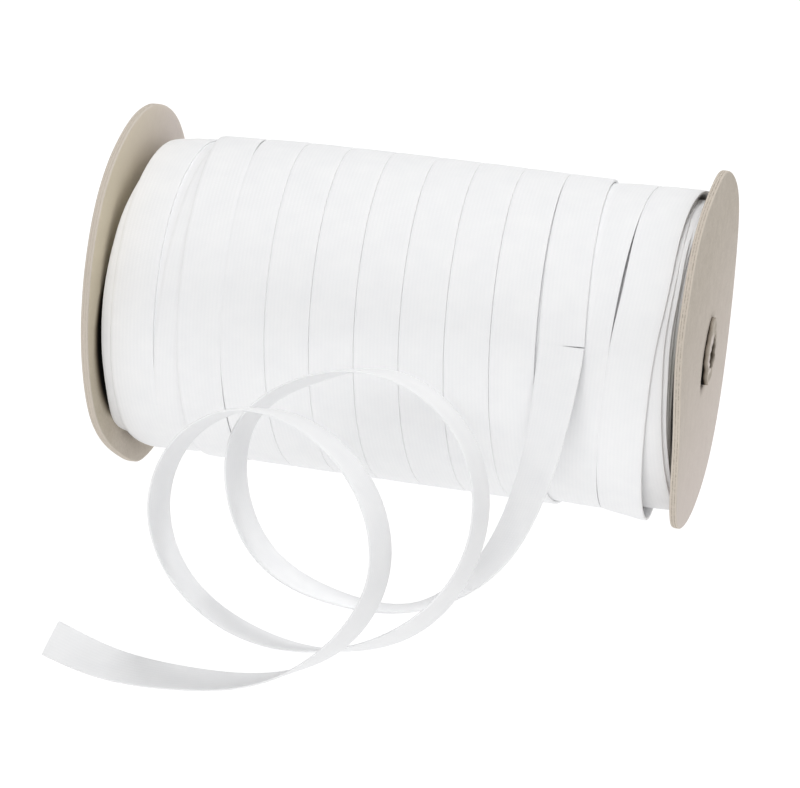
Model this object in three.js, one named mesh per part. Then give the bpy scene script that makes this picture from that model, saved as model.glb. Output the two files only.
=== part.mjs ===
// A reel of flat white elastic tape: two card discs on a card tube, the level
// wound tape between them, and a loose end that leaves the front of the reel,
// rolls through two open loops and lies out on the table.
// Millimetres, +Z up. The reel lies on its two discs with its axle along X.
import * as THREE from 'three';

// Driving dimensions
const TAPE_WIDTH = 12;
const TAPE_THICKNESS = 1;
const CLEARANCE = 0.3;
const DISC_RADIUS = 48;
const LEFT_DISC_RADIUS = 49;
const CARD_THICKNESS = 2;
const CARD_EDGE = 0.3;
const REEL_LENGTH = 157;
const FLAT_DEPTH = 0.15;
const LEFT_LEAN = 2.3;
const LEFT_TOE = 1.3;
const RIGHT_LEAN = 1.5;
const TUBE_RADIUS = 8.9;
const TUBE_WALL = 1;
const LOWER_LAYER = 42.3;
const UPPER_LAYER = LOWER_LAYER + TAPE_THICKNESS;

// Places that follow from them
const AXLE_HEIGHT = DISC_RADIUS - FLAT_DEPTH;
const INNER_FACE = REEL_LENGTH / 2 - CARD_THICKNESS;
const OUTER_FACE = REEL_LENGTH / 2;
const BORE_RADIUS = TUBE_RADIUS + CLEARANCE;
const radians = THREE.MathUtils.degToRad;

const card = { color: 0xb8ac9d, roughness: 0.9, metalness: 0 };
const elastic = { color: 0xf2f2f0, roughness: 0.8, metalness: 0 };

const reel = new THREE.Group();

function addPiece(name, geometry, finish) {
  const mesh = new THREE.Mesh(geometry, new THREE.MeshStandardMaterial(finish));
  mesh.name = name;
  reel.add(mesh);
  return mesh;
}

// A closed skin through rings of points. Every ring has the same number of
// points. The rings run along the solid and end in two caps, or, for a ring
// shaped solid, come back to the first one.
function skin(rings, comesBack) {
  const sides = rings[0].length;
  const points = rings.flat();
  const faces = [];
  const last = comesBack ? rings.length : rings.length - 1;
  for (let i = 0; i < last; i += 1) {
    const here = i * sides;
    const next = ((i + 1) % rings.length) * sides;
    for (let j = 0; j < sides; j += 1) {
      const k = (j + 1) % sides;
      faces.push(here + j, next + j, next + k);
      faces.push(here + j, next + k, here + k);
    }
  }
  if (!comesBack) {
    const end = (rings.length - 1) * sides;
    for (let j = 1; j < sides - 1; j += 1) {
      faces.push(0, j, j + 1);
      faces.push(end, end + j + 1, end + j);
    }
  }
  const geometry = new THREE.BufferGeometry().setFromPoints(points);
  geometry.setIndex(faces);
  geometry.computeVertexNormals();
  return geometry;
}

// Nothing reaches below the table: what would is pressed flat on it.
function standOnTable(geometry) {
  const place = geometry.getAttribute('position');
  for (let i = 0; i < place.count; i += 1) {
    place.setZ(i, Math.max(place.getZ(i), 0));
  }
  geometry.computeVertexNormals();
  return geometry;
}

// A point of the reel at a place along the axle, an angle up from the front
// and a distance from the axle.
function onReel(x, angle, radius) {
  const turn = radians(angle);
  return new THREE.Vector3(x, -radius * Math.cos(turn), AXLE_HEIGHT + radius * Math.sin(turn));
}

// The card discs. The left one is cut a little larger, so its hole is below
// its middle.
const DISC_SIDES = 96;

function discRing(radius, depth, rise) {
  const ring = [];
  for (let i = 0; i < DISC_SIDES; i += 1) {
    const turn = (2 * Math.PI * i) / DISC_SIDES;
    ring.push(new THREE.Vector3(depth, radius * Math.sin(turn), rise + radius * Math.cos(turn)));
  }
  return ring;
}

function disc({ side, radius, lean, toe }) {
  const near = side < 0 ? -CARD_THICKNESS : 0;
  const far = near + CARD_THICKNESS;
  const rise = radius - DISC_RADIUS;
  const geometry = skin([
    discRing(BORE_RADIUS, near, 0),
    discRing(radius - CARD_EDGE, near, rise),
    discRing(radius, near + CARD_EDGE, rise),
    discRing(radius, far - CARD_EDGE, rise),
    discRing(radius - CARD_EDGE, far, rise),
    discRing(BORE_RADIUS, far, 0),
  ], true);
  geometry.rotateZ(radians(toe));
  geometry.rotateY(radians(lean));
  geometry.translate(side * INNER_FACE, 0, AXLE_HEIGHT);
  return standOnTable(geometry);
}

addPiece('disc_left', disc({ side: -1, radius: LEFT_DISC_RADIUS, lean: -LEFT_LEAN, toe: -LEFT_TOE }), card);
addPiece('disc_right', disc({ side: 1, radius: DISC_RADIUS, lean: RIGHT_LEAN, toe: 0 }), card);

// The card tube that carries the discs. Its right mouth is pushed in at the
// front and stands out of the disc at the back. Each row is a place along it,
// counted from where the push starts to the tube's end, and how much of the
// push and of the lip it has.
const TUBE_SIDES = 40;
const TUBE_END = OUTER_FACE + 0.4;
const MOUTH_START = 64;
const MOUTH_PUSH = 0.8;
const INNER_WALL_PUSH = 1.08 * MOUTH_PUSH;
const MOUTH_LIP = 1.2;
const mouthRows = [
  { along: 0, push: 0, lip: 0 },
  { along: 0.4, push: 0.25, lip: 0 },
  { along: 0.75, push: 0.8, lip: 0 },
  { along: 1, push: 1, lip: 1 },
];

function tubeRing(x, radius, push, lip) {
  const ring = [];
  for (let i = 0; i < TUBE_SIDES; i += 1) {
    const turn = (2 * Math.PI * i) / TUBE_SIDES;
    const across = Math.sin(turn);
    const y = across < 0 ? across * (1 - push) : across;
    const towardsBack = 0.5 + 0.5 * across;
    const reach = lip * towardsBack * Math.abs(Math.cos(turn / 2 - Math.PI / 4));
    ring.push(new THREE.Vector3(x + reach, radius * y, AXLE_HEIGHT + radius * Math.cos(turn)));
  }
  return ring;
}

function tubeWall(radius, push) {
  const mouth = mouthRows.map((row) => {
    const x = THREE.MathUtils.lerp(MOUTH_START, TUBE_END, row.along);
    return tubeRing(x, radius, row.push * push, row.lip * MOUTH_LIP);
  });
  return [tubeRing(-TUBE_END, radius, 0, 0), ...mouth];
}

const outerWall = tubeWall(TUBE_RADIUS, MOUTH_PUSH);
const innerWall = tubeWall(TUBE_RADIUS - TUBE_WALL, INNER_WALL_PUSH).reverse();
addPiece('card_tube', skin([...outerWall, ...innerWall], true), card);

// The wound tape. Each column of its profile runs round the reel, with its
// place along the axle at the front, its radius, and how far it wanders along
// the axle in one turn. The upper layer is laid to the right, the lower one to
// the left.
const WOUND_SIDES = 72;
const PITCH = TAPE_WIDTH;
const LEFT_END = -75.1;
const LEFT_SEAM = -61.6;
const UPPER_START = -54.5;
const UPPER_TURNS = 8;
const LAST_UPPER_EDGE = 52.6;
const RIGHT_SEAM = 58.6;
const LAST_LOWER_EDGE = 70.8;
const DEEP_EDGE = 73.7;
const RIGHT_END = 75;
const LEFT_WANDER = -6;
const UPPER_WANDER = -10;
const RIGHT_WANDER = 10;
const DEEP_WANDER = 4;
const SEAM_WIDTH = 0.5;
const SEAM_DEPTH = 0.45;
const EDGE_RUN = 0.15;
const PEEL_ANGLE = 30;

function seam(x, radius, wander) {
  return [
    { x: x - SEAM_WIDTH, radius, wander },
    { x, radius: radius - SEAM_DEPTH, wander },
    { x: x + SEAM_WIDTH, radius, wander },
  ];
}

function step(x, from, to, wander) {
  return [
    { x: x - EDGE_RUN, radius: from, wander },
    { x: x + EDGE_RUN, radius: to, wander },
  ];
}

// The rounded edge of the winding beside the left disc.
const leftShoulder = [
  { inwards: 0, drop: 1.9 },
  { inwards: 0.4, drop: 0.5 },
  { inwards: 1.5, drop: 0 },
];

// The turns beside the right disc, each a layer deeper. The last turn of the
// lower layer tucks back from the disc below.
const UNDER_LAYER = LOWER_LAYER - 1.1;
const DEEP_LAYER = LOWER_LAYER - 2.1;
const END_LAYER = LOWER_LAYER - 2.4;
const LAST_TUCK = 2;
const TUCK_START = 4;

function rightEnd() {
  return [
    { x: LAST_LOWER_EDGE - TUCK_START, radius: LOWER_LAYER, wander: RIGHT_WANDER, tucks: LAST_TUCK },
    { x: LAST_LOWER_EDGE - EDGE_RUN, radius: LOWER_LAYER, wander: RIGHT_WANDER, tucks: LAST_TUCK },
    { x: LAST_LOWER_EDGE + EDGE_RUN, radius: UNDER_LAYER, wander: RIGHT_WANDER, tight: true },
    ...step(DEEP_EDGE, UNDER_LAYER, DEEP_LAYER, DEEP_WANDER).map((c) => ({ ...c, tight: true })),
    { x: RIGHT_END, radius: END_LAYER, wander: 0, leans: true, tight: true },
  ];
}

function woundProfile() {
  const columns = leftShoulder.map(({ inwards, drop }) => (
    { x: LEFT_END + inwards, radius: LOWER_LAYER - drop, wander: 0, bows: true }
  ));
  columns.push(...seam(LEFT_SEAM, LOWER_LAYER, LEFT_WANDER));
  columns.push(...step(UPPER_START, LOWER_LAYER, UPPER_LAYER, UPPER_WANDER));
  for (let turn = 1; turn <= UPPER_TURNS; turn += 1) {
    columns.push(...seam(UPPER_START + turn * PITCH, UPPER_LAYER, UPPER_WANDER));
  }
  columns[columns.length - 1].peels = true;
  columns.push({ x: LAST_UPPER_EDGE - EDGE_RUN, radius: UPPER_LAYER, wander: 0, peels: true });
  columns.push({ x: LAST_UPPER_EDGE + EDGE_RUN, radius: LOWER_LAYER, wander: 0 });
  columns.push(...seam(RIGHT_SEAM, LOWER_LAYER, RIGHT_WANDER), ...rightEnd());
  return columns;
}

// How far round the helix a column has wandered at an angle: evenly over the
// front and top, and back again behind the reel.
const RETURN_FROM = 170;
const RETURN_TO = 240;

function wanderAt(angle) {
  const round = ((angle - RETURN_TO) % 360 + 360) % 360 + RETURN_TO - 360;
  if (round <= RETURN_FROM) return round / 360;
  const back = (round - RETURN_FROM) / (RETURN_TO - RETURN_FROM);
  return THREE.MathUtils.lerp(RETURN_FROM, RETURN_TO - 360, back) / 360;
}

// The winding's left end bows in from the disc at the top and the bottom. And
// the turns aren't quite round: by their place along the axle, they lie lower
// at the top by the dip and hang lower at the bottom by the sag.
const slackRows = [
  { x: LEFT_END, dip: 1.6, sag: 1 },
  { x: UPPER_START, dip: 0.1, sag: 0.3 },
  { x: -10, dip: 0, sag: 0.3 },
  { x: 15, dip: 0, sag: 0.9 },
  { x: 50, dip: 0, sag: 1.7 },
  { x: RIGHT_SEAM, dip: 0, sag: 2.2 },
  { x: LAST_LOWER_EDGE - TUCK_START, dip: 0, sag: 3.9 },
  { x: LAST_LOWER_EDGE, dip: 0, sag: 4.2 },
];
const SAG_ANGLE = -72;
const SAG_SPREAD = 38;
const SHOULDER_DROP = 1.2;
const TOP_BOW = 2.4;
const BOTTOM_BOW = 3;
const END_TOE = 0.4;
const END_LEAN = 0.02;

function slackAt(x) {
  const after = Math.max(1, slackRows.findIndex((row) => row.x >= x));
  const [from, to] = [slackRows[after - 1], slackRows[after]];
  const share = THREE.MathUtils.clamp((x - from.x) / (to.x - from.x), 0, 1);
  return {
    dip: THREE.MathUtils.lerp(from.dip, to.dip, share),
    sag: THREE.MathUtils.lerp(from.sag, to.sag, share),
  };
}

function woundRing(column) {
  const ring = [];
  const { dip, sag } = column.tight ? { dip: 0, sag: 0 } : slackAt(column.x);
  for (let i = 0; i < WOUND_SIDES; i += 1) {
    const angle = (360 * i) / WOUND_SIDES - 180;
    const up = Math.sin(radians(angle));
    const fromSag = (angle - SAG_ANGLE) / SAG_SPREAD;
    let x = column.x + column.wander * wanderAt(angle);
    let radius = column.peels && angle < PEEL_ANGLE ? LOWER_LAYER : column.radius;
    radius += sag * Math.exp(-fromSag * fromSag) - dip * Math.max(0, up);
    if (column.bows) {
      radius -= SHOULDER_DROP * Math.max(0, -up);
      x += up > 0 ? TOP_BOW * up ** 4 : -BOTTOM_BOW * up;
      x -= END_TOE * Math.cos(radians(angle));
    }
    if (column.leans) x += END_LEAN * radius * up;
    if (column.tucks) x -= column.tucks * Math.max(0, -up);
    ring.push(onReel(x, angle, radius));
  }
  return ring;
}

const turns = woundProfile().map(woundRing);
const bore = [RIGHT_END, LEFT_END].map((x) => (
  woundRing({ x, radius: BORE_RADIUS, wander: 0, tight: true })
));
addPiece('wound_tape', skin([...turns, ...bore], true), elastic);

// The loose end. Each row is a place along its middle, by its distance right
// of the reel's middle, in front of the axle and above the table, and the way
// its width points: turned from straight out at the front towards the right,
// and tipped up.
const PEEL_START = onReel(47.2, PEEL_ANGLE - 5.7, LOWER_LAYER + CLEARANCE + TAPE_THICKNESS / 2);
const looseRoute = [
  { right: PEEL_START.x, front: -PEEL_START.y, up: PEEL_START.z, turned: 90, tipped: 0 },
  { right: 46.7, front: 44.9, up: 55.4, turned: 76, tipped: 1 },
  { right: 45, front: 49.2, up: 42, turned: 61, tipped: 2 },
  { right: 42, front: 54, up: 29, turned: 51, tipped: 2 },
  { right: 37, front: 60, up: 17, turned: 40, tipped: 4 },
  { right: 29, front: 66, up: 8, turned: 27, tipped: 12 },
  { right: 18, front: 72, up: 3.2, turned: 17, tipped: 22 },
  { right: -2, front: 77, up: 5, turned: 12, tipped: 15 },
  { right: -20, front: 78, up: 15, turned: 4, tipped: 8 },
  { right: -29.5, front: 75, up: 32, turned: -6, tipped: 11 },
  { right: -27.5, front: 71, up: 51, turned: -12, tipped: 19 },
  { right: -12, front: 68.5, up: 63.5, turned: -12, tipped: 30 },
  { right: 8, front: 68.5, up: 68, turned: -6, tipped: 21 },
  { right: 26, front: 73, up: 60.5, turned: -6, tipped: 20 },
  { right: 35.5, front: 80.5, up: 44.5, turned: -9, tipped: 23 },
  { right: 33.5, front: 88.5, up: 26, turned: -12, tipped: 28 },
  { right: 21, front: 95, up: 11, turned: -15, tipped: 37 },
  { right: 1.5, front: 98, up: 3.8, turned: -3, tipped: 31 },
  { right: -20, front: 98, up: 5.2, turned: 1, tipped: 17 },
  { right: -37.5, front: 95, up: 16, turned: -2, tipped: 14 },
  { right: -46, front: 90, up: 34, turned: -11, tipped: 15 },
  { right: -40, front: 85.5, up: 52, turned: -15, tipped: 21 },
  { right: -23, front: 85, up: 62.5, turned: -14, tipped: 26 },
  { right: -4, front: 89.5, up: 60.5, turned: -12, tipped: 21 },
  { right: 11, front: 97.5, up: 49, turned: -14, tipped: 21 },
  { right: 14.5, front: 106, up: 31.5, turned: -15, tipped: 26 },
  { right: 6.5, front: 113, up: 15, turned: -15, tipped: 30 },
  { right: -11, front: 116, up: 4.6, turned: -5, tipped: 18 },
  { right: -31.5, front: 116, up: 0.8, turned: -2, tipped: 3 },
  { right: -52, front: 113.5, up: 0.8, turned: -14, tipped: -3 },
  { right: -70.5, front: 106, up: 0.9, turned: -20, tipped: -4 },
];
const STEPS_PER_ROW = 4;
const END_SLANT = 25;

function widthWay({ turned, tipped }) {
  const level = Math.cos(radians(tipped));
  const aside = radians(turned);
  return new THREE.Vector3(level * Math.sin(aside), -level * Math.cos(aside), Math.sin(radians(tipped)));
}

function looseEnd() {
  const middle = new THREE.CatmullRomCurve3(
    looseRoute.map((row) => new THREE.Vector3(row.right, -row.front, row.up)),
  );
  const widths = new THREE.CatmullRomCurve3(looseRoute.map(widthWay));
  const steps = (looseRoute.length - 1) * STEPS_PER_ROW;
  const rings = [];
  for (let i = 0; i <= steps; i += 1) {
    const centre = middle.getPoint(i / steps);
    const along = middle.getTangent(i / steps);
    const across = widths.getPoint(i / steps).projectOnPlane(along).normalize();
    const out = new THREE.Vector3().crossVectors(along, across);
    const slant = i === steps ? Math.tan(radians(END_SLANT)) : 0;
    const ring = [[-1, -1], [1, -1], [1, 1], [-1, 1]].map(([side, face]) => (
      centre.clone()
        .addScaledVector(across, (side * TAPE_WIDTH) / 2)
        .addScaledVector(along, (-side * slant * TAPE_WIDTH) / 2)
        .addScaledVector(out, (face * TAPE_THICKNESS) / 2)
    ));
    rings.push(ring);
  }
  return standOnTable(skin(rings.reverse(), false));
}

addPiece('loose_end', looseEnd(), elastic);

// The part stands on the origin at the middle of its footprint.
const footprint = new THREE.Box3().setFromObject(reel).getCenter(new THREE.Vector3());
reel.children.forEach((piece) => {
  piece.position.set(-footprint.x, -footprint.y, 0);
});

export default reel;
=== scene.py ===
# %% [markdown]
# # A reel of flat elastic tape
#
# The object is a haberdasher's reel: a card tube with a card disc at each end, wound with flat white
# elastic. One layer of the tape is laid to the left, the next one on top of it to the right. Near the right
# disc the tape lifts off the front, falls to the table, rolls through two open loops and lies out flat.
#
# Blender works in metres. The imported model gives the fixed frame, and every piece below is placed by it.

import math

import bpy
import numpy as np
from mathutils import Matrix, Vector


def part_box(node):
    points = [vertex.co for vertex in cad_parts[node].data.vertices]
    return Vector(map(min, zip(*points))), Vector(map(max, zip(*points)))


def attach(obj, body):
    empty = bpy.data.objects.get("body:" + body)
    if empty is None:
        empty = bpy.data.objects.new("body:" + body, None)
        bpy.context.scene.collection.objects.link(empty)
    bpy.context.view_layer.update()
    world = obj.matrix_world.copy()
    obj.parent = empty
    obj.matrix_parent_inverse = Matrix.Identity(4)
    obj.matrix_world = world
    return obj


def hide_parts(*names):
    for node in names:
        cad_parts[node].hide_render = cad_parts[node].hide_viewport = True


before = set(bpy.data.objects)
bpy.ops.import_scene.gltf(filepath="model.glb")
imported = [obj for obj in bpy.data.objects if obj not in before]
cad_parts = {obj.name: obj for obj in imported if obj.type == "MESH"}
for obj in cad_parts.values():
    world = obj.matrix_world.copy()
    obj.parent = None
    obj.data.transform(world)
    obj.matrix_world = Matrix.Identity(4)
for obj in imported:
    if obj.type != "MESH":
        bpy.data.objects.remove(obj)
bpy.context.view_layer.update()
print("nodes:", sorted(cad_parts))

# %% [markdown]
# ## Sizes
#
# The tape is 12 mm wide and 1 mm thick, and everything else follows from it. The tube's box gives the axle,
# so the reel's own places (along the axle from the middle, an angle up from the front, a distance from the
# axle) can be turned into places in the frame.

# %% Driving sizes and the axle
MM = 0.001
TAPE_WIDTH = 12 * MM
TAPE_THICKNESS = 1 * MM
DISC_RADIUS = 48 * MM
LEFT_DISC_RADIUS = 49 * MM
CARD_THICKNESS = 2 * MM
REEL_LENGTH = 157 * MM
TUBE_RADIUS = 8.9 * MM
TUBE_WALL = 1 * MM
TUBE_END = REEL_LENGTH / 2 + 0.4 * MM
BORE_RADIUS = TUBE_RADIUS + 0.3 * MM
LOWER_LAYER = 42.3 * MM
UPPER_LAYER = LOWER_LAYER + TAPE_THICKNESS

tube_low, tube_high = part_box("card_tube")
MIDDLE_X = tube_low.x + TUBE_END
AXLE_Y = (tube_low.y + tube_high.y) / 2
AXLE_Z = (tube_low.z + tube_high.z) / 2
print("axle at y %.2f mm, z %.2f mm" % (AXLE_Y / MM, AXLE_Z / MM))


def on_reel(x, angle, radius):
    """A point of the reel. Angles are degrees up from the front, and arrays work too."""
    turn = np.radians(angle)
    across = AXLE_Y - radius * np.cos(turn)
    up = AXLE_Z + radius * np.sin(turn)
    return np.stack(np.broadcast_arrays(MIDDLE_X + x, across, up), axis=-1)


# %% [markdown]
# ## Camera
#
# The photograph looks down on the reel by 28 degrees, from 14 degrees round to the right, with a long lens
# from about a metre. The optical axis lies right of and above the middle of the frame, which the camera's
# shift repeats.

# %% Camera
FRAME_WIDTH, FRAME_HEIGHT = 800, 788
FOCAL_PIXELS = 3714.45
AXIS_PIXEL = (418.88, 316.90)
CAMERA_AZIMUTH = 13.73
CAMERA_ELEVATION = 27.78
CAMERA_DISTANCE = 1002.8 * MM
AIM_HEIGHT = 48 * MM


def look_from(azimuth, elevation, distance, aim):
    around = math.radians(azimuth)
    above = math.radians(elevation)
    level = math.cos(above)
    away = Vector((level * math.sin(around), -level * math.cos(around), math.sin(above)))
    turn = (-away).to_track_quat("-Z", "Y")
    return Matrix.Translation(aim + distance * away) @ turn.to_matrix().to_4x4()


lens = bpy.data.cameras.new("photo_camera")
lens.sensor_width = 36
lens.lens = FOCAL_PIXELS / FRAME_WIDTH * lens.sensor_width
lens.shift_x = 0.5 - AXIS_PIXEL[0] / FRAME_WIDTH
lens.shift_y = (AXIS_PIXEL[1] - FRAME_HEIGHT / 2) / FRAME_WIDTH
lens.clip_end = 10
camera = bpy.data.objects.new("photo_camera", lens)
camera.matrix_world = look_from(
    CAMERA_AZIMUTH, CAMERA_ELEVATION, CAMERA_DISTANCE, Vector((MIDDLE_X, AXLE_Y, AIM_HEIGHT))
)
bpy.context.scene.collection.objects.link(camera)
bpy.context.scene.camera = camera
print("lens %.1f mm, shift %.4f, %.4f" % (lens.lens, lens.shift_x, lens.shift_y))

# %% [markdown]
# ## Node trees as sums
#
# Finishes and Geometry Nodes are both node trees. A small class wraps one socket so that trees can be
# written as sums, and one method adds any node from its type, its settings and its inputs.


# %% A wrapper for sockets and trees
class Wire:
    """One output socket of a tree, which can be used in a sum."""

    def __init__(self, tree, socket):
        self.tree = tree
        self.socket = socket

    def math(self, operation, *values):
        return self.tree.add("ShaderNodeMath", {"operation": operation}, dict(enumerate(values)))

    def __add__(self, other):
        return self.math("ADD", self, other)

    def __sub__(self, other):
        return self.math("SUBTRACT", self, other)

    def __rsub__(self, other):
        return self.math("SUBTRACT", other, self)

    def __mul__(self, other):
        return self.math("MULTIPLY", self, other)

    def __truediv__(self, other):
        return self.math("DIVIDE", self, other)

    def __pow__(self, other):
        return self.math("POWER", self, other)

    __radd__ = __add__
    __rmul__ = __mul__


class Tree:
    """A node tree that grows by adding nodes."""

    def __init__(self, tree):
        self.tree = tree

    def add(self, kind, settings=None, inputs=None, output=0):
        node = self.tree.nodes.new(kind)
        for name, value in (settings or {}).items():
            setattr(node, name, value)
        for key, value in (inputs or {}).items():
            self.feed(node.inputs[key], value)
        return Wire(self, node.outputs[output])

    def feed(self, socket, value):
        if isinstance(value, Wire):
            self.tree.links.new(value.socket, socket)
        else:
            socket.default_value = value

    def mix(self, share, first, second):
        """A colour between two others. Mix keeps them colours, which Math would not."""
        settings = {"data_type": "RGBA"}
        return self.add("ShaderNodeMix", settings, {0: share, 6: first, 7: second}, 2)


def new_finish(name, roughness):
    material = bpy.data.materials.new(name)
    material.use_nodes = True
    shader = material.node_tree.nodes["Principled BSDF"]
    shader.inputs["Roughness"].default_value = roughness
    return material, Tree(material.node_tree), shader


def grey(value):
    return (value, value, value, 1)


# %% [markdown]
# ## Finish of the elastic
#
# Woven elastic has fine ribs along its length, where the rubber threads run, crossed by the small picks of
# the yarn. Each ribbon carries two attributes, `along` and `across`, in metres, so that the weave follows
# the tape round every bend. The ribs and picks are waves of those two numbers, fed to a Bump node. A third
# attribute is painted shade: it darkens the deep turns that hardly any light reaches.

# %% Elastic
RIB_PITCH = 1.0 * MM
PICK_PITCH = 0.7 * MM
RIB_DEPTH = 0.32
PICK_DEPTH = 0.18
WEAVE_HEIGHT = 0.05 * MM
WEAVE_SHARE = 0.25
CLOUD_SCALE = 160
TAPE_DARK = (0.795, 0.8, 0.815, 1)
TAPE_LIGHT = (0.88, 0.88, 0.88, 1)
# The last tone is the painted shade of the deep turns.
DEEP_TAPE_SHADE = (0.17, 0.16, 0.11, 1)


def attribute(tree, name):
    return tree.add("ShaderNodeAttribute", {"attribute_name": name}, output="Fac")


def elastic_finish():
    material, tree, shader = new_finish("woven_elastic", 0.85)
    along = attribute(tree, "along")
    across = attribute(tree, "across")
    ribs = across * (2 * math.pi / RIB_PITCH)
    rib = ribs.math("COSINE", ribs)
    picks = along * (2 * math.pi / PICK_PITCH) + across * (math.pi / RIB_PITCH)
    pick = picks.math("SINE", picks)
    weave = 0.5 + RIB_DEPTH * rib + PICK_DEPTH * pick * (0.5 + 0.5 * rib)
    place = tree.add("ShaderNodeTexCoord", output="Object")
    cloud = tree.add("ShaderNodeTexNoise", inputs={"Vector": place, "Scale": CLOUD_SCALE, "Detail": 4})
    shade = WEAVE_SHARE * weave + (1 - WEAVE_SHARE) * cloud
    colour = tree.mix(shade, TAPE_DARK, TAPE_LIGHT)
    # Painted shade darkens the deep turns.
    tree.feed(shader.inputs["Base Color"], tree.mix(attribute(tree, "painted_shade"), colour, DEEP_TAPE_SHADE))
    bump = tree.add(
        "ShaderNodeBump", inputs={"Height": weave, "Distance": WEAVE_HEIGHT, "Strength": 0.4}
    )
    tree.feed(shader.inputs["Normal"], bump)
    return material


elastic = elastic_finish()
print("finish:", elastic.name, "with", len(elastic.node_tree.nodes), "nodes")

# %% [markdown]
# ## Finish of the card
#
# The discs and the tube are plain grey-brown chipboard: pressed pulp with darker and lighter fibres, no
# coating, and paler, rougher cut edges. Three noises make the pulp. The meshes carry attributes for the
# rest: `edge` is the cut edge and `ply` its dark lines. One attribute mixes in a paler grey, partly the
# card's own tone and partly painted light that changes with height, and `tan` is painted warm half-shade.
# The last one is painted shade, which darkens a gap, first to brown and then to black.

# %% Card
FACE_DARK = (0.345, 0.3, 0.25, 1)
FACE_LIGHT = (0.605, 0.55, 0.48, 1)
# A paler grey, partly the card's own tone and partly painted light.
PALE_AND_PAINTED_LIGHT_TONE = (0.75, 0.675, 0.645, 1)
PALE_AND_PAINTED_LIGHT_SHARE = 0.55
EDGE_TONE = (0.58, 0.52, 0.45, 1)
PLY_TONE = (0.25, 0.21, 0.16, 1)
# A warm tone of painted half-shade.
HALF_SHADE_TONE = (0.6, 0.53, 0.36, 1)
# The last two tones are painted shade in a gap: brown first, then black.
BROWN_SHADE_TONE = (0.13, 0.085, 0.045, 1)
GAP_SHADE_TONE = (0.004, 0.003, 0.002, 1)
PULP_SCALE = 1300
BLOTCH_SCALE = 260
FIBRE_SCALE = 3200
PLY_CONTRAST = 5
PLY_CUT = 1.9
RELIEF_HEIGHT = 0.12 * MM


def card_finish():
    material, tree, shader = new_finish("chipboard", 0.93)
    shader.inputs["Specular IOR Level"].default_value = 0.2
    place = tree.add("ShaderNodeTexCoord", output="Object")
    pulp = tree.add("ShaderNodeTexNoise", inputs={"Vector": place, "Scale": PULP_SCALE, "Detail": 4})
    blotch = tree.add("ShaderNodeTexNoise", inputs={"Vector": place, "Scale": BLOTCH_SCALE, "Detail": 5})
    fibre = tree.add("ShaderNodeTexNoise", inputs={"Vector": place, "Scale": FIBRE_SCALE, "Detail": 2})
    face = tree.mix(0.6 * pulp + 0.4 * blotch, FACE_DARK, FACE_LIGHT)
    # A paler grey: partly the card's own tone, partly painted light by height.
    face = tree.mix(PALE_AND_PAINTED_LIGHT_SHARE * attribute(tree, "pale_and_painted_light"), face, PALE_AND_PAINTED_LIGHT_TONE)
    # Painted warm half-shade.
    face = tree.mix(attribute(tree, "tan"), face, HALF_SHADE_TONE)
    broken_ply = attribute(tree, "ply") * (PLY_CONTRAST * pulp - PLY_CUT)
    rim = tree.mix(broken_ply, EDGE_TONE, PLY_TONE)
    board = tree.mix(attribute(tree, "edge"), face, rim)
    # Painted shade: a gap goes to brown and then to black.
    painted_shade = attribute(tree, "painted_shade")
    board = tree.mix(painted_shade, board, BROWN_SHADE_TONE)
    board = tree.mix(painted_shade**2, board, GAP_SHADE_TONE)
    tree.feed(shader.inputs["Base Color"], board)
    relief = 0.6 * pulp + 0.4 * fibre
    bump = tree.add(
        "ShaderNodeBump", inputs={"Height": relief, "Distance": RELIEF_HEIGHT, "Strength": 0.5}
    )
    tree.feed(shader.inputs["Normal"], bump)
    return material


card = card_finish()
print("finish:", card.name, "with", len(card.node_tree.nodes), "nodes")

# %% [markdown]
# ## Mesh helpers
#
# Closed bodies such as a disc are skins through rings of points. The same helper also stores the attributes
# that a finish reads, one number for each point.


# %% Skins through rings of points
def add_piece(name, mesh, finish):
    piece = bpy.data.objects.new(name, mesh)
    bpy.context.scene.collection.objects.link(piece)
    mesh.materials.clear()
    mesh.materials.append(finish)
    return piece


def store(mesh, name, values):
    layer = mesh.attributes.new(name, "FLOAT", "POINT")
    layer.data.foreach_set("value", np.asarray(values, dtype=np.float32).ravel())


def ring_skin(name, rings, finish, attributes):
    """A closed skin whose rings come back to the first one, like a torus."""
    count, sides = rings.shape[:2]
    i, j = np.meshgrid(np.arange(count), np.arange(sides), indexing="ij")
    after = (i + 1) % count
    beside = (j + 1) % sides
    quads = np.stack(
        [i * sides + j, after * sides + j, after * sides + beside, i * sides + beside], axis=-1
    )
    mesh = bpy.data.meshes.new(name)
    mesh.from_pydata(rings.reshape(-1, 3).tolist(), [], quads.reshape(-1, 4).tolist())
    for key, values in attributes.items():
        store(mesh, key, values)
    return add_piece(name, face_outwards(mesh), finish)


def face_outwards(mesh):
    """Turns a closed mesh whose faces point in, and shades it smooth."""
    mesh.calc_loop_triangles()
    points = np.array([v.co for v in mesh.vertices])
    corners = points[np.array([t.vertices for t in mesh.loop_triangles])]
    volume = np.einsum("ij,ij->i", corners[:, 0], np.cross(corners[:, 1], corners[:, 2])).sum() / 6
    if volume < 0:
        mesh.flip_normals()
    mesh.shade_smooth()
    return mesh


# %% [markdown]
# ## A tape that follows a route
#
# Every stretch of tape is the same thing, a flat ribbon with soft edges that follows a route, so one
# Geometry Nodes tree makes them all. The route is a chain of points, each with the way that the tape's width
# points there. The tree turns the chain into a curve, sets its normals from that attribute, and sweeps a
# rounded section along it. The section is a superellipse: a circle whose coordinates are raised to a small
# power, which squares it.


# %% The tape tree
SECTION_POINTS = 28


def squared(ratio, reach, squareness):
    """One coordinate of a circle, pushed out towards the side of a rectangle."""
    size = ratio.math("ABSOLUTE", ratio) ** squareness.math("DIVIDE", 2, squareness)
    return size * ratio.math("SIGN", ratio) * reach * 0.5


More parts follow.
